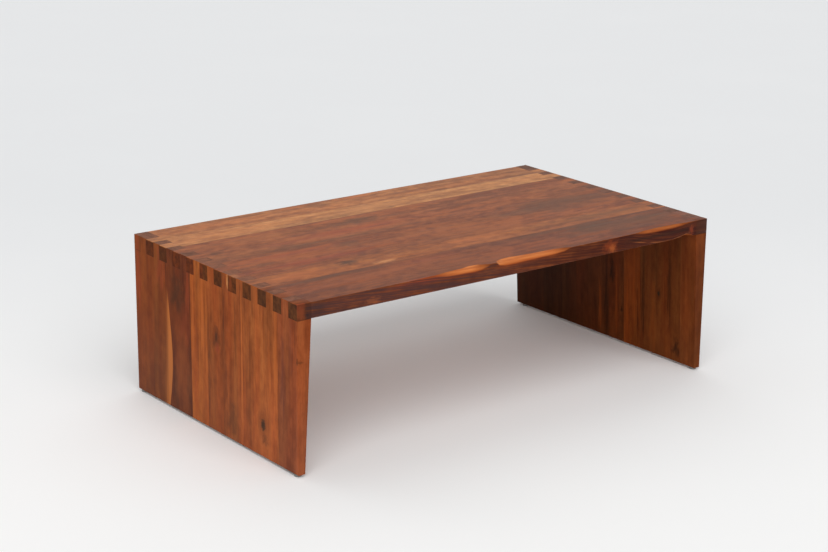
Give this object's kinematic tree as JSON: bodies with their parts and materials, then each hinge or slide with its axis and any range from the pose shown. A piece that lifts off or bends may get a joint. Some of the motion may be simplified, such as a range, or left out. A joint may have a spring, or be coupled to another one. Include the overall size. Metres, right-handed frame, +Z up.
{
  "type": "waterfall coffee table",
  "caption": "Low coffee table of edge-glued hardwood staves: a live-edge top box-jointed to full-width tapered panel legs, standing on screw-in levelling feet.",
  "frame": {"origin": "on the floor under the middle of the table", "axes": "+X along the table's length, +Y to the back, away from the live edge, +Z up"},
  "size_m": [1.22, 0.69, 0.394],
  "materials": {
    "red_heartwood": "satin oil",
    "orange_heartwood": "satin oil",
    "sapwood": "satin oil",
    "pad_plastic": "moulded",
    "stem_steel": "zinc plated",
    "insert_brass": "turned"
  },
  "bodies": {
    "table": {"top_stave_1": "orange_heartwood", "top_stave_2": "sapwood", "top_stave_3": "red_heartwood", "top_stave_4": "red_heartwood", "top_stave_5": "orange_heartwood", "top_stave_6": "red_heartwood", "left_leg_stave_1": "orange_heartwood", "left_leg_stave_2": "red_heartwood", "left_leg_stave_3": "sapwood", "left_leg_stave_4": "orange_heartwood", "left_leg_stave_5": "orange_heartwood", "left_leg_stave_6": "orange_heartwood", "left_leg_stave_7": "red_heartwood", "right_leg_stave_1": "orange_heartwood", "right_leg_stave_2": "red_heartwood", "right_leg_stave_3": "red_heartwood", "right_leg_stave_4": "red_heartwood", "right_leg_stave_5": "orange_heartwood", "right_leg_stave_6": "sapwood", "right_leg_stave_7": "orange_heartwood", "right_leg_stave_8": "red_heartwood", "foot_insert_front_left": "insert_brass", "foot_insert_back_left": "insert_brass", "foot_insert_front_right": "insert_brass", "foot_insert_back_right": "insert_brass"},
    "front_left_pad": {"foot_pad_front_left": "pad_plastic"},
    "front_left_stem": {"foot_stem_front_left": "stem_steel"},
    "back_left_pad": {"foot_pad_back_left": "pad_plastic"},
    "back_left_stem": {"foot_stem_back_left": "stem_steel"},
    "front_right_pad": {"foot_pad_front_right": "pad_plastic"},
    "front_right_stem": {"foot_stem_front_right": "stem_steel"},
    "back_right_pad": {"foot_pad_back_right": "pad_plastic"},
    "back_right_stem": {"foot_stem_back_right": "stem_steel"}
  },
  "joints": [
    {"name": "front_left_foot_slide", "type": "slide", "parent": "table", "child": "front_left_pad", "axis": [0, 0, -1], "range_m": [0, 0.008]},
    {"name": "front_left_stem_turn", "type": "hinge", "parent": "front_left_pad", "child": "front_left_stem", "pos_m": [-0.601, -0.33, 0.006], "axis": [0, 0, -1], "range_deg": [0, 2881]},
    {"name": "back_left_foot_slide", "type": "slide", "parent": "table", "child": "back_left_pad", "axis": [0, 0, -1], "range_m": [0, 0.008]},
    {"name": "back_left_stem_turn", "type": "hinge", "parent": "back_left_pad", "child": "back_left_stem", "pos_m": [-0.601, 0.33, 0.006], "axis": [0, 0, -1], "range_deg": [0, 2881]},
    {"name": "front_right_foot_slide", "type": "slide", "parent": "table", "child": "front_right_pad", "axis": [0, 0, -1], "range_m": [0, 0.008]},
    {"name": "front_right_stem_turn", "type": "hinge", "parent": "front_right_pad", "child": "front_right_stem", "pos_m": [0.601, -0.33, 0.006], "axis": [0, 0, -1], "range_deg": [0, 2881]},
    {"name": "back_right_foot_slide", "type": "slide", "parent": "table", "child": "back_right_pad", "axis": [0, 0, -1], "range_m": [0, 0.008]},
    {"name": "back_right_stem_turn", "type": "hinge", "parent": "back_right_pad", "child": "back_right_stem", "pos_m": [0.601, 0.319, 0.006], "axis": [0, 0, -1], "range_deg": [0, 2881]}
  ],
  "couplings": [
    {"joint": "front_left_stem_turn", "follows": "front_left_foot_slide", "rad_per_m": 6283.2},
    {"joint": "back_left_stem_turn", "follows": "back_left_foot_slide", "rad_per_m": 6283.2},
    {"joint": "front_right_stem_turn", "follows": "front_right_foot_slide", "rad_per_m": 6283.2},
    {"joint": "back_right_stem_turn", "follows": "back_right_foot_slide", "rad_per_m": 6283.2}
  ]
}
